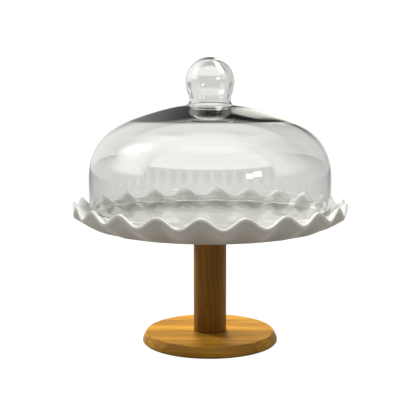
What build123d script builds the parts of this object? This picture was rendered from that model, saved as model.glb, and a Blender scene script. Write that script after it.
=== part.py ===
"""Footed cake stand with a lift-off glass dome.

A ruffled stoneware plate stands on a turned wooden stem and a round edge-glued wooden base.
One tie rod clamps the plate, the stem and the base together. A blown glass bell with a hollow
knob rests on the ruffles of the plate and lifts straight off.
Millimetres, +Z up, origin on the table under the centre of the base.
"""

import os
from math import cos, pi, sin, sqrt

from build123d import *

os.makedirs("parts", exist_ok=True)

# ---- driving dimensions ----------------------------------------------------------------------
# Base: a bevelled disc glued up from staves that run along X. Its rounded edge is given by the
# ends of three arcs and a point on each, from the underside round to the top.
BASE_UNDERSIDE = 1.5
BASE_TOP = 14.0
BASE_RADIUS = 79.7
BASE_EDGE_ENDS = ((77.4, BASE_UNDERSIDE), (BASE_RADIUS, 4.2), (75.4, 13.3), (74.2, BASE_TOP))
BASE_EDGE_MIDDLES = ((79.1, 2.3), (78.1, 9.0), (75.0, 13.8))
STAVE_WIDTH = 26.3
FIRST_GLUE_LINE = -58.5
STAVE_COUNT = 6

# Rubber feet, let into the underside of the base.
FOOT_RADIUS = 6.0
FOOT_CIRCLE = 62.0
FOOT_COUNT = 4
FOOT_RECESS = 1.0
FOOT_GAP = 0.15
FOOT_CHAMFER = 0.4

# Stem, dowels and the tie rod that clamps the stand together.
STEM_RADIUS = 19.25
STEM_CHAMFER = 0.6
GASKET_THICKNESS = 0.8
ROD_RADIUS = 3.0
ROD_HOLE_RADIUS = 3.5
ROD_CHAMFER = 0.5
ROD_BOTTOM = 1.9
DOWEL_RADIUS = 2.0
DOWEL_HALF_LENGTH = 5.5
DOWEL_OFFSET = 12.5

# Nut and washers, in a counterbore under the base.
COUNTERBORE_RADIUS = 9.0
COUNTERBORE_DEPTH = 6.8
WASHER_RADIUS = 8.0
WASHER_THICKNESS = 1.6
LOCK_WASHER_RADIUS = 5.5
LOCK_WASHER_THICKNESS = 1.5
LOCK_WASHER_SLOT = 1.5
NUT_ACROSS_FLATS = 10.0
NUT_THICKNESS = 3.2
WASHER_GAP = 0.2

# Plate: flat in the middle, with a rising rim that waves up and down.
PLATE_RADIUS = 159.0
PLATE_UNDERSIDE = 136.0
PLATE_THICKNESS = 8.5
RIM_THICKNESS = 6.1
LIP_RADIUS = 2.6
FLAT_RADIUS = 116.0
RIM_RISE = 15.7
RIM_RISE_POWER = 1.73
WAVE_COUNT = 22
WAVE_HEIGHT = 11.1
WAVE_START_RADIUS = 120.0
WAVE_POWER = 1.25
WAVE_PHASE = -3.3
BOSS_RADIUS = 13.0
BOSS_DEPTH = 7.0

# Threaded insert, bonded into the boss under the plate.
INSERT_RADIUS = 5.0
INSERT_FLANGE_RADIUS = 8.0
INSERT_FLANGE_THICKNESS = 1.2
INSERT_LENGTH = 11.5
INSERT_THREAD_LENGTH = 10.5
BOSS_GAP = 0.4

# Dome: a bell with a beaded foot and a wall that thickens over the crown, and a hollow knob
# fused on at the neck.
WALL = 3.0
BEAD_THICKNESS = 5.0
BEAD_HEIGHT = 4.5
NECK_WALL = 6.0
THICK_RADIUS = 93.0
FOOT_WALL_RADIUS = 139.4
FOOT_LEAN = 0.012
CROWN_SLOPE = 0.142
BELL_OUTLINE = (
    (140.0, 186.0),
    (137.3, 216.0),
    (124.9, 240.0),
    (104.4, 256.0),
    (81.0, 266.0),
    (51.5, 274.8),
    (42.6, 276.9),
    (33.4, 278.5),
    (28.6, 279.2),
)
SEAT_GAP = 0.25
NECK_HEIGHT = 284.6
NECK_RADIUS = 23.9
NECK_BORE_RADIUS = 19.5
KNOB_RADIUS = 28.2
KNOB_CENTRE_HEIGHT = 305.8
KNOB_SHOULDER_DROP = 9.8
KNOB_CAVITY_RADIUS = 23.2
KNOB_CAVITY_CENTRE_HEIGHT = 306.6


def at(r, z):
    """The point at radius r and height z, in the plane that profiles are drawn in."""
    return Vector(r, 0, z)


def ring(outer, inner, low, high):
    """A plain ring, or a disc where inner is 0, between two heights."""
    body = Cylinder(outer, high - low, align=(Align.CENTER, Align.CENTER, Align.MIN))
    if inner:
        body -= Cylinder(inner, high - low, align=(Align.CENTER, Align.CENTER, Align.MIN))
    return Pos(0, 0, low) * body


def turned(*edges):
    """The solid that a closed outline of edges sweeps out about Z."""
    return revolve(Face(Wire(edges)), Axis.Z)


def on_circle(piece, radius, count, start):
    """Copies of a piece, evenly spaced on a circle about Z."""
    step = 360 / count
    return [Rot(0, 0, start + step * i) * Pos(radius, 0, 0) * piece for i in range(count)]


def write(name, shape):
    export_step(shape, f"parts/{name}.step")


# ---- plate -----------------------------------------------------------------------------------
RIM_REACH = PLATE_RADIUS - LIP_RADIUS


def share(r, start):
    """How far out a radius lies between a start radius and the lip, from 0 to 1."""
    return max(0.0, (r - start) / (RIM_REACH - start))


def wave_lift(r, wave):
    """Lift of the ruffle, where wave goes from 0 in a valley to 1 on a crest."""
    return WAVE_HEIGHT * wave * share(r, WAVE_START_RADIUS) ** WAVE_POWER


def underside(r, wave):
    rise = RIM_RISE * share(r, FLAT_RADIUS) ** RIM_RISE_POWER
    return PLATE_UNDERSIDE + rise + wave_lift(r, wave)


def thickness(r):
    return PLATE_THICKNESS + (RIM_THICKNESS - PLATE_THICKNESS) * share(r, FLAT_RADIUS)


def topside(r, wave):
    return underside(r, wave) + thickness(r)


def rim_section(wave, rows=24, turns=10):
    """Section of the rim as (r, z): out along the underside, round the lip, back along the top."""
    radii = [FLAT_RADIUS + (RIM_REACH - FLAT_RADIUS) * i / rows for i in range(rows + 1)]
    low = [(r, underside(r, wave)) for r in radii]
    high = [(r, topside(r, wave)) for r in reversed(radii)]
    middle = (low[-1][1] + high[0][1]) / 2
    half = (high[0][1] - low[-1][1]) / 2
    slope = (low[-1][1] - low[-2][1]) / (low[-1][0] - low[-2][0])
    lip = []
    for i in range(1, turns):
        angle = -pi / 2 + pi * i / turns
        out = LIP_RADIUS * cos(angle)
        lip.append((RIM_REACH + out, middle + half * sin(angle) + slope * out * cos(angle)))
    return low + lip + high


def rim_patch(columns=8):
    """Half a wave of the rim, from the middle of a crest to the middle of a valley."""
    grid = []
    for i in range(columns + 1):
        angle = pi / WAVE_COUNT * i / columns
        wave = (1 + cos(WAVE_COUNT * angle)) / 2
        grid.append([(r * cos(angle), r * sin(angle), z) for r, z in rim_section(wave)])
    return Face.make_surface_from_array_of_points(grid, tol=0.005, min_deg=3, max_deg=5)


def is_level(edge, height):
    box = edge.bounding_box()
    return abs(box.min.Z - height) < 1e-3 and abs(box.max.Z - height) < 1e-3


def cake_plate():
    """Ruffled plate, with a boss underneath that locates it in the stem."""
    half = rim_patch()
    wave = [half, half.mirror(Plane.XZ)]
    step = 360 / WAVE_COUNT
    rim = [Rot(0, 0, step * i) * face for i in range(WAVE_COUNT) for face in wave]
    flats = []
    for height in (PLATE_UNDERSIDE, PLATE_TOP):
        inner = [edge for face in rim for edge in face.edges() if is_level(edge, height)]
        flats.append(Face(Wire(inner)))
    plate = Rot(0, 0, WAVE_PHASE - 90) * Solid(Shell(rim + flats))
    plate += ring(BOSS_RADIUS, 0, BOSS_BOTTOM, PLATE_UNDERSIDE + PLATE_THICKNESS / 2)
    return plate - ring(INSERT_RADIUS, 0, BOSS_BOTTOM, INSERT_TOP)


def plate_insert():
    """Flanged threaded sleeve with a closed top."""
    sleeve = ring(INSERT_RADIUS, 0, BOSS_BOTTOM, INSERT_TOP)
    flange = ring(INSERT_FLANGE_RADIUS, 0, BOSS_BOTTOM - INSERT_FLANGE_THICKNESS, BOSS_BOTTOM)
    thread = ring(ROD_RADIUS, 0, BOSS_BOTTOM - INSERT_FLANGE_THICKNESS, ROD_TOP)
    return sleeve + flange - thread


# ---- stem and base ---------------------------------------------------------------------------
def stem():
    """Turned post with a through hole, dowel holes and a pocket for the boss of the plate."""
    post = ring(STEM_RADIUS, 0, BASE_TOP, STEM_TOP)
    post = chamfer(post.edges().filter_by(GeomType.CIRCLE), STEM_CHAMFER)
    post -= ring(BOSS_RADIUS + BOSS_GAP, 0, POCKET_FLOOR, STEM_TOP)
    post -= ring(ROD_HOLE_RADIUS, 0, BASE_TOP, STEM_TOP)
    return post - dowels()


def dowels():
    """Two pins that stop the stem turning on the base."""
    pin = ring(DOWEL_RADIUS, 0, BASE_TOP - DOWEL_HALF_LENGTH, BASE_TOP + DOWEL_HALF_LENGTH)
    return Compound(on_circle(pin, DOWEL_OFFSET, 2, 0))


def base_disc():
    """The whole base, before it is divided into staves."""
    ends = [at(r, z) for r, z in BASE_EDGE_ENDS]
    middles = [at(r, z) for r, z in BASE_EDGE_MIDDLES]
    edge = [ThreePointArc(a, b, c) for a, b, c in zip(ends, middles, ends[1:])]
    disc = turned(
        Line(at(0, BASE_TOP), at(0, BASE_UNDERSIDE)),
        Line(at(0, BASE_UNDERSIDE), ends[0]),
        *edge,
        Line(ends[-1], at(0, BASE_TOP)),
    )
    disc -= ring(COUNTERBORE_RADIUS, 0, BASE_UNDERSIDE, WASHER_SEAT)
    disc -= ring(ROD_HOLE_RADIUS, 0, WASHER_SEAT, BASE_TOP)
    recess = ring(FOOT_RADIUS + FOOT_GAP, 0, BASE_UNDERSIDE, BASE_UNDERSIDE + FOOT_RECESS)
    for cut in on_circle(recess, FOOT_CIRCLE, FOOT_COUNT, 45):
        disc -= cut
    return disc - dowels()


def staves():
    """The base divided along its glue lines, from the front stave to the back one."""
    disc = base_disc()
    glue_lines = [FIRST_GLUE_LINE + STAVE_WIDTH * i for i in range(STAVE_COUNT - 1)]
    limits = [-BASE_RADIUS - 1, *glue_lines, BASE_RADIUS + 1]
    pieces = []
    for near, far in zip(limits, limits[1:]):
        slab = Box(2 * BASE_RADIUS + 2, far - near, BASE_TOP + 2)
        pieces.append(disc & Pos(0, (near + far) / 2, BASE_TOP / 2) * slab)
    return pieces


def rubber_feet():
    foot = ring(FOOT_RADIUS, 0, 0, BASE_UNDERSIDE + FOOT_RECESS)
    foot = chamfer(foot.edges().group_by(Axis.Z)[0], FOOT_CHAMFER)
    return Compound(on_circle(foot, FOOT_CIRCLE, FOOT_COUNT, 45))


def rod_nut():
    """Thin hexagon nut with its corners turned off."""
    hexagon = extrude(RegularPolygon(NUT_ACROSS_FLATS / 2, 6, major_radius=False), NUT_THICKNESS)
    corner = NUT_ACROSS_FLATS / sqrt(3)
    blank = ring(corner, 0, 0, NUT_THICKNESS)
    blank = chamfer(blank.edges().filter_by(GeomType.CIRCLE), corner - NUT_ACROSS_FLATS / 2)
    nut = (hexagon & blank) - ring(ROD_RADIUS, 0, 0, NUT_THICKNESS)
    return Pos(0, 0, NUT_BOTTOM) * nut


def lock_washer():
    """Spring washer, split on one side."""
    washer = ring(LOCK_WASHER_RADIUS, ROD_RADIUS + WASHER_GAP, NUT_TOP, LOCK_WASHER_TOP)
    slot = Box(2 * LOCK_WASHER_RADIUS, LOCK_WASHER_SLOT, 2 * LOCK_WASHER_THICKNESS)
    return washer - Pos(LOCK_WASHER_RADIUS, 0, LOCK_WASHER_TOP) * slot


def tie_rod():
    rod = ring(ROD_RADIUS, 0, ROD_BOTTOM, ROD_TOP)
    return chamfer(rod.edges().filter_by(GeomType.CIRCLE), ROD_CHAMFER)


# ---- dome ------------------------------------------------------------------------------------
def seat_height(samples=60):
    """Height of the centre of the bell's rounded foot when it rests on the crests."""
    reach = BEAD_THICKNESS / 2 + SEAT_GAP
    centre = FOOT_WALL_RADIUS - BEAD_THICKNESS / 2
    heights = []
    for i in range(samples + 1):
        out = reach * (2 * i / samples - 1)
        heights.append(topside(centre + out, 1) + sqrt(reach**2 - out**2))
    return max(heights)


def bell_outside(foot_height):
    """Outer profile of the bell, from its foot to the start of the neck."""
    return Spline(
        at(FOOT_WALL_RADIUS, foot_height),
        *[at(r, z) for r, z in BELL_OUTLINE],
        tangents=[(FOOT_LEAN, 0, 1), (-1, 0, CROWN_SLOPE)],
    )


def bell_inside(outside, spans=16):
    """Inner profile above the bead: the outer one moved in by the wall."""
    start = BEAD_HEIGHT / outside.length
    points = []
    for i in range(spans + 1):
        share_up = start + (1 - start) * i / spans
        place = outside.position_at(share_up)
        along = outside.tangent_at(share_up)
        crown = max(0.0, (THICK_RADIUS - place.X) / (THICK_RADIUS - NECK_RADIUS))
        wall = WALL + (NECK_WALL - WALL) * crown
        points.append(place + Vector(-along.Z, 0, along.X) * wall)
    return Spline(*points, tangents=[(FOOT_LEAN, 0, 1), (-1, 0, CROWN_SLOPE)])


def dome_bell():
    foot = seat_height()
    outside = bell_outside(foot)
    inside = bell_inside(outside)
    neck_outside = TangentArc(at(NECK_RADIUS, NECK_HEIGHT), outside @ 1, tangent=(0, 0, -1))
    bore = at(NECK_BORE_RADIUS, NECK_HEIGHT)
    neck_inside = Spline(inside @ 1, bore, tangents=[inside % 1, (0, 0, 1)])
    half_bead = BEAD_THICKNESS / 2
    bead_inner = at(FOOT_WALL_RADIUS - BEAD_THICKNESS, foot)
    bead_bottom = at(FOOT_WALL_RADIUS - half_bead, foot - half_bead)
    return turned(
        outside,
        neck_outside,
        Line(at(NECK_RADIUS, NECK_HEIGHT), bore),
        neck_inside,
        inside,
        Spline(bead_inner, inside @ 0, tangents=[(0, 0, 1), inside % 0]),
        ThreePointArc(bead_inner, bead_bottom, outside @ 0),
    )


def dome_knob():
    """Hollow ball knob, open downwards into the bell."""
    drop = KNOB_SHOULDER_DROP
    shoulder = at(sqrt(KNOB_RADIUS**2 - drop**2), KNOB_CENTRE_HEIGHT - drop)
    top = at(0, KNOB_CENTRE_HEIGHT + KNOB_RADIUS)
    side = at(KNOB_RADIUS, KNOB_CENTRE_HEIGHT)
    neck = at(NECK_RADIUS, NECK_HEIGHT)
    bore = at(NECK_BORE_RADIUS, NECK_HEIGHT)
    widest = at(KNOB_CAVITY_RADIUS, KNOB_CAVITY_CENTRE_HEIGHT)
    ceiling = at(0, KNOB_CAVITY_CENTRE_HEIGHT + KNOB_CAVITY_RADIUS)
    return turned(
        Spline(neck, shoulder, tangents=[(0, 0, 1), (drop, 0, shoulder.X)]),
        ThreePointArc(shoulder, side, top),
        Line(top, ceiling),
        TangentArc(ceiling, widest, tangent=(1, 0, 0)),
        Spline(widest, bore, tangents=[(0, 0, -1), (0, 0, -1)]),
        Line(bore, neck),
    )


# ---- heights that follow from the driving dimensions -----------------------------------------
PLATE_TOP = PLATE_UNDERSIDE + PLATE_THICKNESS
STEM_TOP = PLATE_UNDERSIDE - GASKET_THICKNESS
BOSS_BOTTOM = PLATE_UNDERSIDE - BOSS_DEPTH
POCKET_FLOOR = BOSS_BOTTOM - INSERT_FLANGE_THICKNESS - BOSS_GAP
INSERT_TOP = BOSS_BOTTOM + INSERT_LENGTH
ROD_TOP = BOSS_BOTTOM + INSERT_THREAD_LENGTH
WASHER_SEAT = BASE_UNDERSIDE + COUNTERBORE_DEPTH
LOCK_WASHER_TOP = WASHER_SEAT - WASHER_THICKNESS
NUT_TOP = LOCK_WASHER_TOP - LOCK_WASHER_THICKNESS
NUT_BOTTOM = NUT_TOP - NUT_THICKNESS

write("cake_plate", cake_plate())
write("plate_insert", plate_insert())
write("plate_gasket", ring(STEM_RADIUS - 1, BOSS_RADIUS + BOSS_GAP, STEM_TOP, PLATE_UNDERSIDE))
write("stem", stem())
write("dowel_pins", dowels())
for number, stave in enumerate(staves(), start=1):
    write(f"base_stave_{number}", stave)
write("rubber_feet", rubber_feet())
write("tie_rod", tie_rod())
washer_hole = ROD_RADIUS + WASHER_GAP
write("flat_washer", ring(WASHER_RADIUS, washer_hole, LOCK_WASHER_TOP, WASHER_SEAT))
write("lock_washer", lock_washer())
write("rod_nut", rod_nut())
write("dome_bell", dome_bell())
write("dome_knob", dome_knob())
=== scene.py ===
"""Looks for the footed cake stand with a lift-off glass dome.

The glass and the plate are rebuilt here as fine smooth meshes on the CAD model's own dimensions.
The stem, the staves of the base and the hardware keep their CAD meshes and get materials.
Metres, in the CAD model's frame: Z is up, and the camera looks along +Y.
"""

import math

import bpy
import numpy as np
from mathutils import Euler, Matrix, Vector


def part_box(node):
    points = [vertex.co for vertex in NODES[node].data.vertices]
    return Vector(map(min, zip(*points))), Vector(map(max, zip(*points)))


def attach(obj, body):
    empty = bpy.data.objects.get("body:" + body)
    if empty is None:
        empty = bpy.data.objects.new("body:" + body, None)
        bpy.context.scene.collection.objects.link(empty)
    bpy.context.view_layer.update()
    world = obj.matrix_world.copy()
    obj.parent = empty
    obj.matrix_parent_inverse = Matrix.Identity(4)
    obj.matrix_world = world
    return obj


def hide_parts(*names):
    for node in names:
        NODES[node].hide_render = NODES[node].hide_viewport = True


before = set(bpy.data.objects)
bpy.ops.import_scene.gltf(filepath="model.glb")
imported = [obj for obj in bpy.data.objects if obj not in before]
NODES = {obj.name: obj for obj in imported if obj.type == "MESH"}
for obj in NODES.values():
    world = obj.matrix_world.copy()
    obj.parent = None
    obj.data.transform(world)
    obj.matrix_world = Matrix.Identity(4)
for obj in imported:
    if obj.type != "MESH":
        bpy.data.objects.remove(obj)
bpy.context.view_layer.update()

MM = 0.001

# ---- camera: it stands well back and looks a little down on the stand -------------------------
EYE_DISTANCE = 0.9935
EYE_HEIGHT = 0.2827
LOOK_DOWN = math.radians(7.19)
SENSOR_WIDTH_MM = 36.0
FOCAL_LENGTH_MM = 73.33

# ---- glass: the sizes that the boxes of the CAD nodes don't give ------------------------------
WALL = 3.0 * MM
NECK_WALL = 6.0 * MM
THICK_RADIUS = 93.0 * MM  # from here inwards the wall grows from WALL to NECK_WALL
BEAD_THICKNESS = 5.0 * MM  # the rolled bead round the foot
BEAD_HEIGHT = 4.5 * MM
FOOT_WALL_RADIUS = 139.4 * MM
FOOT_LEAN = 0.012  # outwards, for each metre up
CROWN_SLOPE = 0.142  # upwards, for each metre inwards at the neck
# outside of the bell above its foot, as radius and height in millimetres
BELL_OUTLINE = (
    (140.0, 186.0), (137.3, 216.0), (124.9, 240.0), (104.4, 256.0), (81.0, 266.0),
    (51.5, 274.8), (42.6, 276.9), (33.4, 278.5), (28.6, 279.2),
)
NECK_RADIUS = 23.9 * MM
NECK_BORE_RADIUS = 19.5 * MM
KNOB_SHOULDER_DROP = 9.8 * MM
KNOB_CAVITY_RADIUS = 23.2 * MM
KNOB_CAVITY_RISE = 0.8 * MM
GLASS_SEGMENTS = 224
BELL_STEPS = 16  # in each span of BELL_OUTLINE
BEAD_STEPS, CAVITY_STEPS, BALL_STEPS = 20, 32, 40

# ---- plate: the sizes that the boxes of the CAD nodes don't give ------------------------------
PLATE_THICKNESS = 8.5 * MM
RIM_THICKNESS = 6.1 * MM
LIP_RADIUS = 2.6 * MM
FLAT_RADIUS = 116.0 * MM
RIM_RISE = 15.7 * MM
RIM_RISE_POWER = 1.73
WAVE_COUNT = 22
WAVE_HEIGHT = 11.1 * MM
WAVE_START_RADIUS = 120.0 * MM
WAVE_POWER = 1.25
WAVE_PHASE = math.radians(-93.3)
BOSS_RADIUS = 13.0 * MM
BOSS_EASE = 0.5 * MM  # the small bevels at the boss's foot and root
SOCKET_RADIUS = 5.0 * MM
FIRST_RING_RADIUS = 20.0 * MM  # the innermost ring of the flat underside
SEGMENTS_PER_WAVE = 24
RUFFLE_RINGS, LIP_STEPS = 40, 16
BOTTOM_RINGS, TOP_RINGS = 11, 13

ON_AXIS = 1e-9
SAME_POINT = 1e-6


# ---- mesh helpers -----------------------------------------------------------------------------
def clamped_spline(points, start, end, per_span=12):
    """A smooth curve through points, with the given directions at its two ends."""
    points = np.array(points, float)
    steps = np.linalg.norm(np.diff(points, axis=0), axis=1)
    count = len(points)
    matrix = np.eye(count)
    right = np.zeros((count, 2))
    right[0] = np.array(start) / np.linalg.norm(start)
    right[-1] = np.array(end) / np.linalg.norm(end)
    for i in range(1, count - 1):
        before, after = steps[i - 1], steps[i]
        matrix[i, i - 1 : i + 2] = after, 2 * (before + after), before
        rise = before / after * (points[i + 1] - points[i])
        fall = after / before * (points[i] - points[i - 1])
        right[i] = 3 * (rise + fall)
    slopes = np.linalg.solve(matrix, right)
    curve = [points[:1]]
    for i, step in enumerate(steps):
        t = (np.arange(1, per_span + 1) / per_span)[:, None]
        curve.append(
            (1 + 2 * t) * (1 - t) ** 2 * points[i]
            + t * (1 - t) ** 2 * step * slopes[i]
            + t * t * (3 - 2 * t) * points[i + 1]
            + t * t * (t - 1) * step * slopes[i + 1]
        )
    return np.vstack(curve)


def arc(centre, radius, start, end, count):
    """Points on an arc, with angles in degrees from the outward direction."""
    angles = np.radians(np.linspace(start, end, count + 1))
    return np.array(centre) + radius * np.column_stack([np.cos(angles), np.sin(angles)])


def normals_of(curve):
    """Unit vectors across a curve, to the left of its direction."""
    along = np.gradient(curve, axis=0)
    along /= np.linalg.norm(along, axis=1)[:, None]
    return np.column_stack([-along[:, 1], along[:, 0]])


def joined(*curves):
    """Curves end to end, without the doubled points where they meet."""
    points = [curves[0][0]]
    for curve in curves:
        points += [p for p in curve if np.linalg.norm(p - points[-1]) > SAME_POINT]
    return np.array(points)


def new_object(name, vertices, faces):
    """A smooth-shaded mesh object, linked into the scene."""
    mesh = bpy.data.meshes.new(name)
    mesh.from_pydata([tuple(v) for v in vertices], [], faces)
    mesh.validate()
    mesh.shade_smooth()
    piece = bpy.data.objects.new(name, mesh)
    bpy.context.scene.collection.objects.link(piece)
    return piece


def lathe(name, profile, segments, lift=None):
    """A closed body turned about Z from a profile of (r, z) that starts and ends on the axis.
    lift(r, z, angle) gives the height of a point, if it varies."""
    rows = [p for p in profile if p[0] > ON_AXIS]
    angles = [2 * math.pi * i / segments for i in range(segments)]
    vertices = []
    for r, z in rows:
        for angle in angles:
            height = lift(r, z, angle) if lift else z
            vertices.append((r * math.cos(angle), r * math.sin(angle), height))
    faces = []
    for row in range(len(rows) - 1):
        a, b = row * segments, (row + 1) * segments
        for j in range(segments):
            k = (j + 1) % segments
            faces.append((a + j, a + k, b + k, b + j))
    for row, (_, z), flip in ((0, profile[0], False), (len(rows) - 1, profile[-1], True)):
        centre = len(vertices)
        vertices.append((0, 0, z))
        for j in range(segments):
            a, b = row * segments + j, row * segments + (j + 1) % segments
            faces.append((centre, a, b) if flip else (centre, b, a))
    return new_object(name, vertices, faces)


# ---- node helpers -----------------------------------------------------------------------------
class Nodes:
    """Short calls for building a node tree. A value is a number, a colour, a vector or the output
    of another node."""

    def __init__(self, tree):
        self.tree = tree
        tree.nodes.clear()

    def put(self, value, socket):
        """Link a value to an input, or set it there."""
        if isinstance(value, bpy.types.NodeSocket):
            self.tree.links.new(value, socket)
        else:
            socket.default_value = value

    def add(self, kind, inputs=None, **settings):
        node = self.tree.nodes.new(kind)
        for key, value in settings.items():
            setattr(node, key, value)
        for key, value in (inputs or {}).items():
            self.put(value, node.inputs[key])
        return node

    def math(self, operation, a, b=0.0, c=0.0):
        node = self.add("ShaderNodeMath", {0: a, 1: b, 2: c}, operation=operation)
        return node.outputs[0]

    def smooth(self, value, low, high, to_low=0.0, to_high=1.0):
        """Smooth step from to_low to to_high while value goes from low to high."""
        inputs = {0: value, 1: low, 2: high, 3: to_low, 4: to_high}
        node = self.add("ShaderNodeMapRange", inputs, interpolation_type="SMOOTHSTEP")
        return node.outputs[0]

    def noise(self, vector, scale=1.0, detail=3.0, roughness=0.5):
        inputs = {"Vector": vector, "Scale": scale, "Detail": detail, "Roughness": roughness}
        return self.add("ShaderNodeTexNoise", inputs).outputs[0]

    def mix(self, factor, a, b):
        """Colour a where factor is 0 and b where it is 1."""
        return self.add("ShaderNodeMix", {0: factor, 6: a, 7: b}, data_type="RGBA").outputs[2]

    def mix_shaders(self, factor, a, b):
        inputs = {0: factor, 1: a.outputs[0], 2: b.outputs[0]}
        return self.add("ShaderNodeMixShader", inputs)

    def stretched(self, vector, scale):
        return self.add("ShaderNodeMapping", {"Vector": vector, "Scale": scale}).outputs[0]

    def parts(self, vector):
        return self.add("ShaderNodeSeparateXYZ", {0: vector}).outputs[:3]

    def length(self, vector):
        node = self.add("ShaderNodeVectorMath", {0: vector}, operation="LENGTH")
        return node.outputs["Value"]

    def bump(self, height, strength, distance, normal=None):
        """A surface direction bent by a height, on top of another one if that is given."""
        inputs = {"Height": height, "Strength": strength, "Distance": distance}
        if normal:
            inputs["Normal"] = normal
        return self.add("ShaderNodeBump", inputs).outputs[0]


def new_material(name):
    """A material with its node calls, the place on the object in metres, and its shader."""
    material = bpy.data.materials.new(name)
    material.use_nodes = True
    nodes = Nodes(material.node_tree)
    place = nodes.add("ShaderNodeTexCoord").outputs["Object"]
    shader = nodes.add("ShaderNodeBsdfPrincipled")
    nodes.add("ShaderNodeOutputMaterial", {"Surface": shader.outputs[0]})
    return material, nodes, place, shader


def connect(nodes, shader, **sockets):
    """Set or link the shader's inputs, whose names are given with _ for a space."""
    for key, value in sockets.items():
        nodes.put(value, shader.inputs[key.replace("_", " ")])


def ray_kinds(nodes):
    """Two masks: rays straight from the camera, and those that only gloss or glass has turned."""
    path = nodes.add("ShaderNodeLightPath").outputs
    nothing_matt_yet = nodes.math("LESS_THAN", path["Diffuse Depth"], 0.5)
    turned = nodes.math("MAXIMUM", path["Is Glossy Ray"], path["Is Transmission Ray"])
    return path["Is Camera Ray"], nodes.math("MULTIPLY", turned, nothing_matt_yet)


# ---- glass ------------------------------------------------------------------------------------
GLASS_IOR = 1.5
FAINT_GREEN = (0.95, 0.965, 0.945, 1)
NEARLY_CLEAR = (0.97, 0.98, 0.965, 1)


def clear_glass():
    """Blown soda-lime glass, with the faint waviness of a mould-blown wall."""
    material, nodes, place, shader = new_material("clear_glass")
    waves = nodes.noise(nodes.stretched(place, (1, 1, 0.6)), scale=26.0, detail=1.0)
    tint = nodes.mix(nodes.noise(place, scale=9.0), FAINT_GREEN, NEARLY_CLEAR)
    rough = nodes.smooth(nodes.noise(place, scale=40.0), 0.3, 0.8, to_low=0.0, to_high=0.012)
    connect(
        nodes, shader, Base_Color=tint, Roughness=rough, IOR=GLASS_IOR, Transmission_Weight=1.0,
        Normal=nodes.bump(waves, strength=0.10, distance=0.0006),
    )
    return material


# ---- glaze ------------------------------------------------------------------------------------
# each glaze clouds between two colours
# painted shade: the well and the underside's middle are greyed where the dome and the plate shade
# them
WELL_PAINTED_SHADE_GLAZE = (0.52, 0.51, 0.46, 1), (0.58, 0.57, 0.52, 1)
LIP_GLAZE = (0.86, 0.85, 0.82, 1), (0.91, 0.905, 0.88, 1)
PINHOLE_COLOUR = (0.6, 0.56, 0.48, 1)
GLAZE_IOR = 1.5
LIP_GLAZE_START = 0.149  # the lip's white, without painted shade, begins at this radius on the upper side,
LIP_GLAZE_UNDER = 0.025  # this much further in on the underside,
LIP_GLAZE_FULL = 0.155  # and covers everything from this radius outwards


def white_glaze():
    """White glaze over stoneware, greyed as painted shade in the well and the middle of the
    underside, white over the lip, half matt underneath, with a slight ripple and a few pinholes."""
    material, nodes, place, shader = new_material("white_glaze")
    pooled = nodes.noise(place, scale=14.0, detail=4.0)
    cloudy = nodes.smooth(pooled, 0.35, 0.7)
    _, _, up = nodes.parts(nodes.add("ShaderNodeNewGeometry").outputs["Normal"])
    underneath = nodes.smooth(up, -0.4, 0.2, to_low=1.0, to_high=0.0)
    start = nodes.math("MULTIPLY_ADD", underneath, -LIP_GLAZE_UNDER, LIP_GLAZE_START)
    out = nodes.length(nodes.stretched(place, (1, 1, 0)))
    lip = nodes.smooth(out, start, LIP_GLAZE_FULL)
    colour = nodes.mix(lip, nodes.mix(cloudy, *WELL_PAINTED_SHADE_GLAZE), nodes.mix(cloudy, *LIP_GLAZE))
    cells = nodes.add("ShaderNodeTexVoronoi", {"Vector": place, "Scale": 180.0}).outputs[0]
    sound = nodes.smooth(cells, 0.02, 0.055)  # 0 in a pinhole and 1 around it
    ripple = nodes.bump(nodes.noise(place, scale=55.0, detail=2.0), strength=0.12, distance=0.0006)
    gloss = nodes.smooth(pooled, 0.3, 0.75, to_low=0.08, to_high=0.16)
    connect(
        nodes, shader, Base_Color=nodes.mix(sound, PINHOLE_COLOUR, colour), IOR=GLAZE_IOR,
        Roughness=nodes.math("MULTIPLY_ADD", underneath, 0.5, gloss), Specular_IOR_Level=0.45,
        Normal=nodes.bump(sound, strength=0.25, distance=0.0002, normal=ripple),
    )
    return material


# ---- wood -------------------------------------------------------------------------------------
HONEY_LIGHT = (0.86, 0.43, 0.045)
HONEY = (0.66, 0.31, 0.03)
HONEY_DARK = (0.36, 0.155, 0.02)
HEARTWOOD = (0.16, 0.065, 0.01)
RING_WIDTH = 0.0052
RING_WANDER = 0.016  # how far a ring strays from a true circle
GRAIN_TURNS = {"X": (0, 0, 0), "Z": (0, math.radians(90), 0)}
# how finely each figure of the wood repeats: along the grain, and twice across it, for each metre
WANDER_SCALE = (6, 24, 24)
CURL_SCALE = (60, 18, 18)
STREAK_SCALE = (3.5, 75, 75)
BROAD_SCALE = (7, 30, 30)
FIBRE_SCALE = (24, 1000, 1000)
PORE_SCALE = (75, 1700, 1700)


def toned(colour, tone):
    return tuple(tone * part for part in colour) + (1,)


def late_wood(nodes, local, pith, curl):
    """0 in the pale part of each growth ring and 1 in its dark part."""
    _, side, height = nodes.parts(local)
    across = nodes.math("SUBTRACT", side, pith[0])
    down = nodes.math("SUBTRACT", height, pith[1])
    squares = [nodes.math("MULTIPLY", leg, leg) for leg in (across, down)]
    true_circle = nodes.math("SQRT", nodes.math("ADD", *squares))
    wander = nodes.noise(nodes.stretched(local, WANDER_SCALE))
    bent = nodes.math("MULTIPLY_ADD", wander, RING_WANDER, true_circle)
    if curl:
        ripple = nodes.noise(nodes.stretched(local, CURL_SCALE), detail=1.0)
        bent = nodes.math("MULTIPLY_ADD", ripple, curl, bent)
    through = nodes.math("FRACT", nodes.math("DIVIDE", bent, RING_WIDTH))
    darkens = nodes.smooth(through, 0.1, 0.8)
    ends = nodes.smooth(through, 0.86, 1, to_low=1, to_high=0)
    return nodes.math("MULTIPLY", darkens, ends)


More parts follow.
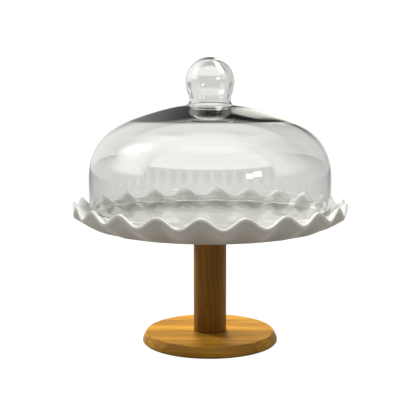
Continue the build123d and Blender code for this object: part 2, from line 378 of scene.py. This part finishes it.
def wood(name, grain, pith, tone, seed, curl=0.0):
    """Oiled acacia. grain is the axis that the fibres follow, pith the place across the grain that
    the rings go round, seed a shift along the grain, and curl how far the rings ripple."""
    material, nodes, place, shader = new_material(name)
    inputs = {"Vector": place, "Rotation": GRAIN_TURNS[grain], "Location": (seed, 0, 0)}
    local = nodes.add("ShaderNodeMapping", inputs).outputs[0]
    late = late_wood(nodes, local, pith, curl)
    streaks = nodes.noise(nodes.stretched(local, STREAK_SCALE), detail=4.0, roughness=0.62)
    broad = nodes.noise(nodes.stretched(local, BROAD_SCALE), detail=2.0)
    fibres = nodes.noise(nodes.stretched(local, FIBRE_SCALE), detail=4.0, roughness=0.6)
    pores = nodes.noise(nodes.stretched(local, PORE_SCALE), detail=1.0)
    pore = nodes.smooth(pores, 0.64, 0.75)
    light, mid, dark = toned(HONEY_LIGHT, tone), toned(HONEY, tone), toned(HONEY_DARK, tone)
    colour = nodes.mix(nodes.smooth(streaks, 0.36, 0.62), mid, light)
    colour = nodes.mix(nodes.smooth(broad, 0.50, 0.74, to_low=0.0, to_high=0.8), colour, dark)
    colour = nodes.mix(nodes.math("MULTIPLY", late, 0.42), colour, dark)
    colour = nodes.mix(nodes.smooth(fibres, 0.35, 0.75, to_low=0.0, to_high=0.3), colour, dark)
    colour = nodes.mix(nodes.math("MULTIPLY", pore, 0.5), colour, toned(HEARTWOOD, tone))
    relief = nodes.math("SUBTRACT", nodes.math("MULTIPLY", fibres, 0.5), pore)
    connect(
        nodes, shader, Base_Color=colour, Specular_IOR_Level=0.2,
        Roughness=nodes.smooth(fibres, 0.25, 0.8, to_low=0.40, to_high=0.58),
        Normal=nodes.bump(relief, strength=0.2, distance=0.0003),
    )
    return material


# ---- rubber, cork and metal -------------------------------------------------------------------
# light and dark colour, scale of the grain, roughness, metallic and strength of the bump
PLAIN_MATERIALS = {
    "cork": ((0.55, 0.38, 0.22, 1), (0.24, 0.14, 0.07, 1), 900.0, 0.8, 0.0, 0.4),
    "black_rubber": ((0.045, 0.045, 0.045, 1), (0.02, 0.02, 0.02, 1), 700.0, 0.6, 0.0, 0.15),
    "brass": ((0.80, 0.58, 0.25, 1), (0.62, 0.42, 0.16, 1), 500.0, 0.28, 1.0, 0.15),
    "zinc_steel": ((0.72, 0.73, 0.75, 1), (0.5, 0.51, 0.54, 1), 600.0, 0.3, 1.0, 0.15),
}
ROUGHNESS_SPREAD = 0.08


def speckled(name):
    """One of the plain materials, with its fine grain."""
    light, dark, scale, roughness, metallic, bump = PLAIN_MATERIALS[name]
    material, nodes, place, shader = new_material(name)
    grain = nodes.noise(place, scale, detail=4.0, roughness=0.6)
    smoothest, roughest = roughness - ROUGHNESS_SPREAD, roughness + ROUGHNESS_SPREAD
    connect(
        nodes, shader, Base_Color=nodes.mix(nodes.smooth(grain, 0.35, 0.65), dark, light),
        Roughness=nodes.smooth(grain, 0.3, 0.7, to_low=smoothest, to_high=roughest),
        Metallic=metallic, Normal=nodes.bump(grain, strength=bump, distance=0.0002),
    )
    return material


def give(piece, material):
    """Make this the piece's only material."""
    piece.data.materials.clear()
    piece.data.materials.append(material)


# ---- glass dome -------------------------------------------------------------------------------
def glass_profile():
    """Section of the bell and the knob as one body of glass: (r, z) pairs from axis to axis."""
    bell_low, bell_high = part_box("dome_bell")
    knob_low, knob_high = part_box("dome_knob")
    neck = bell_high.z
    foot = bell_low.z + BEAD_THICKNESS / 2
    outline = [(FOOT_WALL_RADIUS, foot)] + [(r * MM, z * MM) for r, z in BELL_OUTLINE]
    outside = clamped_spline(outline, (FOOT_LEAN, 1), (-1, CROWN_SLOPE), per_span=BELL_STEPS)
    crown = np.clip((THICK_RADIUS - outside[:, 0]) / (THICK_RADIUS - NECK_RADIUS), 0, None)
    wall = WALL + (NECK_WALL - WALL) * crown
    inside = outside + normals_of(outside) * wall[:, None]
    inside = inside[inside[:, 1] > foot + BEAD_HEIGHT]

    bead_inner = (FOOT_WALL_RADIUS - BEAD_THICKNESS, foot)
    bead_side = clamped_spline([inside[0], bead_inner], inside[0] - inside[1], (0, -1))
    bead_centre = (FOOT_WALL_RADIUS - BEAD_THICKNESS / 2, foot)
    bead = arc(bead_centre, BEAD_THICKNESS / 2, 180, 360, BEAD_STEPS)

    knob_radius = (knob_high.x - knob_low.x) / 2
    knob_centre = knob_high.z - knob_radius
    drop = KNOB_SHOULDER_DROP
    shoulder = (math.sqrt(knob_radius**2 - drop**2), knob_centre - drop)
    neck_outside = clamped_spline([outside[-1], (NECK_RADIUS, neck)], (-1, CROWN_SLOPE), (0, 1))
    knob_neck = clamped_spline([(NECK_RADIUS, neck), shoulder], (0, 1), (drop, shoulder[0]))
    start = -math.degrees(math.asin(drop / knob_radius))
    ball = arc((0, knob_centre), knob_radius, start, 90, BALL_STEPS)

    cavity_centre = (0, knob_centre + KNOB_CAVITY_RISE)
    cavity_top = arc(cavity_centre, KNOB_CAVITY_RADIUS, 90, 0, CAVITY_STEPS)
    bore = (NECK_BORE_RADIUS, neck)
    cavity_low = clamped_spline([cavity_top[-1], bore], (0, -1), (0, -1))
    neck_inside = clamped_spline([bore, inside[-1]], (0, -1), inside[-2] - inside[-1])
    return joined(
        cavity_top, cavity_low, neck_inside, inside[::-1], bead_side, bead, outside, neck_outside,
        knob_neck, ball,
    )


def glass_dome():
    """The bell with its hollow knob. It casts no shadow, as thin clear glass casts hardly any."""
    dome = lathe("glass_dome", glass_profile(), GLASS_SEGMENTS)
    give(dome, clear_glass())
    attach(dome, "dome")
    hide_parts("dome_bell", "dome_knob")
    dome.visible_shadow = False


# ---- plate ------------------------------------------------------------------------------------
def share(r, start, reach):
    """0 up to start, and from there evenly up to 1 at reach."""
    return max(0.0, (r - start) / (reach - start))


def cake_plate():
    """The plate with its boss and its waved rim, turned as one closed body."""
    low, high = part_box("cake_plate")
    socket_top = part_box("plate_insert")[1].z
    radius = (high.x - low.x) / 2
    reach = radius - LIP_RADIUS
    boss_bottom = low.z
    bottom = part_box("plate_gasket")[1].z
    top = bottom + PLATE_THICKNESS

    def underside(r):
        """Height of the underside between the waves."""
        return bottom + RIM_RISE * share(r, FLAT_RADIUS, reach) ** RIM_RISE_POWER

    def topside(r):
        """Height of the upper side between the waves."""
        out = share(r, FLAT_RADIUS, reach)
        return underside(r) + PLATE_THICKNESS + (RIM_THICKNESS - PLATE_THICKNESS) * out

    def lifted(r, z, angle):
        """Height of a point once the waves have lifted it."""
        wave = (1 + math.cos(WAVE_COUNT * (angle - WAVE_PHASE))) / 2
        return z + WAVE_HEIGHT * wave * share(min(r, reach), WAVE_START_RADIUS, reach) ** WAVE_POWER

    radii = np.linspace(FLAT_RADIUS, reach, RUFFLE_RINGS)
    below = [(r, underside(r)) for r in radii]
    above = [(r, topside(r)) for r in radii[::-1]]
    middle = (below[-1][1] + above[0][1]) / 2
    half = (above[0][1] - below[-1][1]) / 2
    slope = (below[-1][1] - below[-2][1]) / (below[-1][0] - below[-2][0])
    lip = []
    for angle in np.radians(np.linspace(-90, 90, LIP_STEPS + 1)[1:-1]):
        out = LIP_RADIUS * math.cos(angle)
        lip.append((reach + out, middle + half * math.sin(angle) + slope * out * math.cos(angle)))
    centre = [
        (0, socket_top), (SOCKET_RADIUS, socket_top), (SOCKET_RADIUS, boss_bottom),
        (BOSS_RADIUS - BOSS_EASE, boss_bottom), (BOSS_RADIUS, boss_bottom + BOSS_EASE),
        (BOSS_RADIUS, bottom - BOSS_EASE), (BOSS_RADIUS + BOSS_EASE, bottom),
    ]
    flat = [(r, bottom) for r in np.linspace(FIRST_RING_RADIUS, FLAT_RADIUS, BOTTOM_RINGS + 1)[:-1]]
    over = [(r, top) for r in np.linspace(FLAT_RADIUS, 0.0, TOP_RINGS + 1)[1:]]
    profile = centre + flat + below + lip + above + over
    plate = lathe("ruffled_plate", profile, SEGMENTS_PER_WAVE * WAVE_COUNT, lifted)
    give(plate, white_glaze())
    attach(plate, "stand")
    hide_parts("cake_plate")


# ---- stem, base and hardware ------------------------------------------------------------------
STAVE_TONES = (0.82, 0.94, 0.78, 1.02, 0.9, 1.08)
STAVE_PITH_ASIDE = 0.012  # from a stave's middle to its pith, in turn to the front and the back
STAVE_PITH_DEPTH = 0.04  # how far below the table the pith lies,
STAVE_PITH_STEP = 0.006  # and how much further below with each stave
STAVE_SHIFT = 0.37  # how far the figure moves along the grain with each stave
PLAIN_NODES = {
    "plate_gasket": "cork",
    "rubber_feet": "black_rubber",
    "plate_insert": "brass",
    "tie_rod": "zinc_steel",
    "flat_washer": "zinc_steel",
    "lock_washer": "zinc_steel",
    "rod_nut": "zinc_steel",
}


def dress_stand():
    """Materials for everything that keeps its CAD mesh."""
    # painted shade: the stem has the base's wood, toned down to 0.52 for the shade under the plate
    stem_wood = wood("stem_wood", "Z", pith=(0.012, -0.03), tone=0.52, seed=0.2, curl=0.004)
    give(NODES["stem"], stem_wood)
    for i, tone in enumerate(STAVE_TONES, start=1):
        name = f"base_stave_{i}"
        low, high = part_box(name)
        middle = (low.y + high.y) / 2
        pith = (middle + STAVE_PITH_ASIDE * (-1) ** i, -STAVE_PITH_DEPTH - STAVE_PITH_STEP * i)
        give(NODES[name], wood(f"stave_wood_{i}", "X", pith, tone, seed=STAVE_SHIFT * i))
    give(NODES["dowel_pins"], wood("dowel_wood", "Z", pith=(0.01, -0.02), tone=0.8, seed=0.6))
    plain = {name: speckled(name) for name in PLAIN_MATERIALS}
    for node, name in PLAIN_NODES.items():
        give(NODES[node], plain[name])


# ---- studio -----------------------------------------------------------------------------------
def camera():
    data = bpy.data.cameras.new("camera")
    data.lens = FOCAL_LENGTH_MM
    data.sensor_width = SENSOR_WIDTH_MM
    data.sensor_fit = "HORIZONTAL"
    eye = bpy.data.objects.new("camera", data)
    eye.location = (0, -EYE_DISTANCE, EYE_HEIGHT)
    eye.rotation_euler = Euler((math.pi / 2 - LOOK_DOWN, 0, 0))
    bpy.context.scene.collection.objects.link(eye)
    bpy.context.scene.camera = eye


def degrees(nodes, value):
    return nodes.math("MULTIPLY", value, 180 / math.pi)


def sky_patch(nodes, heading, height, turn, lift, half_turn, half_lift, corner, blur):
    """1 inside a rounded rectangle of the sky and 0 outside it, all in degrees."""
    aside = nodes.math("WRAP", nodes.math("SUBTRACT", heading, turn), 180.0, -180.0)
    above = nodes.math("SUBTRACT", height, lift)
    squares = []
    for value, half in ((aside, half_turn), (above, half_lift)):
        past = nodes.math("SUBTRACT", nodes.math("ABSOLUTE", value), half - corner)
        squares.append(nodes.math("POWER", nodes.math("MAXIMUM", past, 0.0), 2.0))
    distance = nodes.math("SQRT", nodes.math("ADD", *squares))
    return nodes.smooth(distance, corner - blur, corner + blur, to_low=1.0, to_high=0.0)


LAMP_WHITE = (1.0, 1.0, 0.98)
COOL_WALL = (1.0, 1.0, 0.99)
WARM_WALL = (1.0, 0.99, 0.96)
ROSY = (1.0, 0.93, 0.92)
TABLE_WHITE = (1.0, 1.0, 0.985)
HAZE_WHITE = (1.0, 1.0, 0.97)
CREAM = (1.0, 1.0, 0.9)
DAYLIGHT = (1.0, 1.0, 1.0)
# what surrounds the stand, each laid over those before it: heading (0 behind the stand, 90 to its
# right), height, half width, half height, corner and blur in degrees, then colour and brightness
SURROUNDINGS = {
    "overhead": ((0, 90, 200, 45, 3, 2), LAMP_WHITE, 1.2),
    "zenith": ((0, 90, 200, 20, 6, 8), LAMP_WHITE, 2.9),
    "left_top": ((-68, 60, 22, 13, 10, 8), LAMP_WHITE, 3.5),
    "right_top": ((66, 60, 22, 13, 10, 8), LAMP_WHITE, 2.3),
    "high_front": ((180, 76, 90, 26, 9, 8), LAMP_WHITE, 3.4),
    "left_rear": ((-66, 29, 24, 31, 12, 11), COOL_WALL, 2.2),
    "left_wall": ((-100, 34, 16, 32, 11, 10), COOL_WALL, 3.0),
    "right_rear": ((74, 29, 26, 31, 12, 11), WARM_WALL, 1.2),
    "right_wall": ((108, 34, 12, 32, 10, 9), WARM_WALL, 2.2),
    "front_wall": ((180, 36, 63, 15, 9, 2.5), WARM_WALL, 3.2),
    "room": ((180, 7, 63, 17, 3, 2), ROSY, 0.2),
    "table": ((0, -40, 200, 48, 5, 4), TABLE_WHITE, 0.55),
    "sweep": ((0, -40, 75, 48, 5, 4), TABLE_WHITE, 0.69),
    "left_haze": ((-43, 20, 31, 24, 12, 12), HAZE_WHITE, 0.95),
    "right_haze": ((48, 20, 28, 24, 10, 10), HAZE_WHITE, 0.6),
    "cream_card": ((8, 18, 3.2, 13, 2.6, 1.8), CREAM, 1.95),
    "left_box": ((-82, 41, 14, 13, 12, 12), LAMP_WHITE, 5.0),
    "top_box": ((180, 67, 50, 8, 4, 4), LAMP_WHITE, 4.0),
    "window_left": ((143, 11.5, 3.2, 3.4, 0.6, 0.4), DAYLIGHT, 14.0),
    "window_right": ((134.6, 14, 3.8, 3.6, 0.6, 0.4), DAYLIGHT, 14.0),
}
GAP_BRIGHTNESS = 0.085  # of the darkness between them
SOFT_SHARE = 0.10  # how strongly they light matt surfaces, beside the lights below
PAGE_WHITE = 1.1  # brightness of the background and the floor, as the camera sees them


def studio_sky():
    """White walls, cards and windows round the stand, for its glass and glaze to mirror."""
    world = bpy.data.worlds.new("studio")
    bpy.context.scene.world = world
    world.use_nodes = True
    nodes = Nodes(world.node_tree)
    toward = nodes.add("ShaderNodeTexCoord").outputs["Generated"]
    x, y, z = nodes.parts(toward)
    heading = degrees(nodes, nodes.math("ARCTAN2", x, y))
    height = degrees(nodes, nodes.math("ARCSINE", z))
    around = toned((1, 1, 1), GAP_BRIGHTNESS)
    for place, colour, brightness in SURROUNDINGS.values():
        mask = sky_patch(nodes, heading, height, *place)
        around = nodes.mix(mask, around, toned(colour, brightness))
    from_camera, mirrored = ray_kinds(nodes)
    sharp = nodes.math("MAXIMUM", from_camera, mirrored)
    strength = nodes.smooth(sharp, 0, 1, to_low=SOFT_SHARE, to_high=1.0)
    colour = nodes.mix(from_camera, around, toned((1, 1, 1), PAGE_WHITE))
    light = nodes.add("ShaderNodeBackground", {"Color": colour, "Strength": strength})
    nodes.add("ShaderNodeOutputWorld", {"Surface": light.outputs[0]})


# heading and height in degrees, as above, then distance, width and depth, and power in watts
LIGHTS = {
    "back_light": (-5, 28, 1.4, 0.35, 0.5, 29),
    "left_light": (-48, 14, 1.4, 0.3, 0.3, 16),
    "right_light": (62, 20, 1.4, 0.6, 0.5, 2),
    "top_light": (180, 86, 1.5, 1.0, 1.0, 2.5),
    "front_light": (180, 50, 0.38, 0.5, 0.1, 0.78),
}
LIT_HEIGHT = 0.1  # the lights aim at the stand's axis, at this height


def soft_light(name, heading, height, distance, width, depth, power):
    """An oblong light that shines on the stand. The camera, glass and gloss don't see it: they
    see the surroundings above instead."""
    data = bpy.data.lights.new(name, "AREA")
    data.shape = "RECTANGLE"
    data.size, data.size_y, data.energy = width, depth, power
    lamp = bpy.data.objects.new(name, data)
    heading, height = math.radians(heading), math.radians(height)
    level = math.cos(height)
    toward = Vector((math.sin(heading) * level, math.cos(heading) * level, math.sin(height)))
    lamp.location = distance * toward + Vector((0, 0, LIT_HEIGHT))
    lamp.rotation_euler = toward.to_track_quat("Z", "Y").to_euler()
    lamp.visible_camera = lamp.visible_glossy = lamp.visible_transmission = False
    bpy.context.scene.collection.objects.link(lamp)


FLOOR_REACH = 6.0
FLOOR_SHADING = 0.06  # how much of its own light and shade the white floor shows the camera
FLOOR_MATT = (0.9, 0.9, 0.9, 1)
# the light that the floor throws back: darker near the stand as painted shade, and blended between
# two radii
NEAR_PAINTED_SHADE_BOUNCE, FAR_BOUNCE = (0.14, 0.13, 0.11, 1), (0.40, 0.375, 0.34, 1)
NEAR_RADIUS, FAR_RADIUS = 0.06, 0.30
# the floor as glass and glaze mirror it: dimmer at the sides, and faded between two distances
MIDDLE_GLOW, SIDE_GLOW = 0.70, 0.42
MIDDLE_END, SIDES_START = 0.35, 1.2


def floor():
    """A plain white floor that is so evenly lit that it holds almost no shadow; the light it throws
    back carries painted shade near the stand.
    """
    size = FLOOR_REACH
    corners = [(-size, -size, 0), (size, -size, 0), (size, size, 0), (-size, size, 0)]
    ground = new_object("floor", corners, [(0, 1, 2, 3)])
    material = bpy.data.materials.new("floor")
    material.use_nodes = True
    nodes = Nodes(material.node_tree)
    spot = nodes.add("ShaderNodeTexCoord").outputs["Object"]
    # painted shade: the light the floor throws back darkens towards the stand, as a contact shadow
    out = nodes.smooth(nodes.length(spot), NEAR_RADIUS, FAR_RADIUS)
    bounce = nodes.add("ShaderNodeBsdfDiffuse", {"Color": nodes.mix(out, NEAR_PAINTED_SHADE_BOUNCE, FAR_BOUNCE)})
    aside = nodes.math("ABSOLUTE", nodes.parts(spot)[0])
    fade = nodes.smooth(aside, MIDDLE_END, SIDES_START, to_low=MIDDLE_GLOW, to_high=SIDE_GLOW)
    haze = nodes.add("ShaderNodeEmission", {"Color": toned(TABLE_WHITE, 1), "Strength": fade})
    glow = nodes.add("ShaderNodeEmission", {"Color": (1, 1, 1, 1), "Strength": PAGE_WHITE})
    matt = nodes.add("ShaderNodeBsdfDiffuse", {"Color": FLOOR_MATT})
    from_camera, mirrored = ray_kinds(nodes)
    indirect = nodes.mix_shaders(mirrored, bounce, haze)
    seen = nodes.mix_shaders(FLOOR_SHADING, glow, matt)
    surface = nodes.mix_shaders(from_camera, indirect, seen)
    nodes.add("ShaderNodeOutputMaterial", {"Surface": surface.outputs[0]})
    material.cycles.emission_sampling = "NONE"
    give(ground, material)


def colour_management():
    """Colours as they are, with no film curve over them."""
    view = bpy.context.scene.view_settings
    view.view_transform = "Standard"
    view.look = "None"


camera()
colour_management()
studio_sky()
floor()
for light_name, setting in LIGHTS.items():
    soft_light(light_name, *setting)
glass_dome()
cake_plate()
dress_stand()
